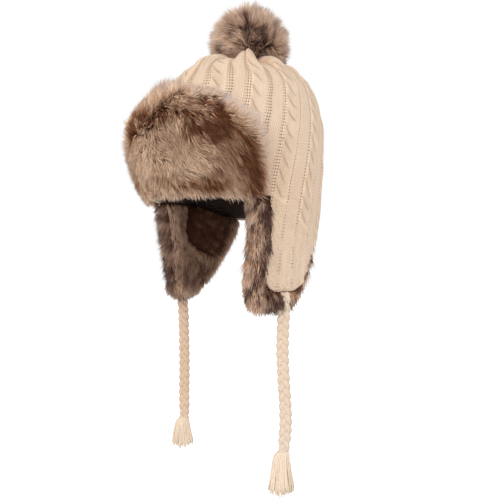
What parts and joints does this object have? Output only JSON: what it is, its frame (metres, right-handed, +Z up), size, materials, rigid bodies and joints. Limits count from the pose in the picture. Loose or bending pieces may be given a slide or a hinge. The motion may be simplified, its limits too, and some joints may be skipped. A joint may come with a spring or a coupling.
{
  "type": "knit ushanka",
  "caption": "Cable-knit trapper hat gathered under a fur pompom, with a turned-up fur front flap, fur-lined ear flaps and braided ties ending in tassels.",
  "frame": {"origin": "centre of the head opening, level with the front hem", "axes": "+Z up, front of the hat towards -Y, the wearer's left towards +X"},
  "size_m": [0.2004, 0.266, 0.5714],
  "materials": {
    "knit_wool": "matte cream wool in cables and ribs",
    "brown_fur": "deep mottled brown fur with pale tips",
    "dark_plush": "short dark brown plush",
    "braid_wool": "matte cream wool yarn"
  },
  "bodies": {
    "root": {"crown": "knit_wool", "crown_lining": "dark_plush", "left_ear_flap": "knit_wool", "right_ear_flap": "knit_wool", "left_ear_lining": "brown_fur", "right_ear_lining": "brown_fur", "front_flap": "brown_fur", "pompom": "brown_fur", "left_tie": "braid_wool", "right_tie": "braid_wool", "left_tassel": "braid_wool", "right_tassel": "braid_wool"}
  },
  "joints": []
}
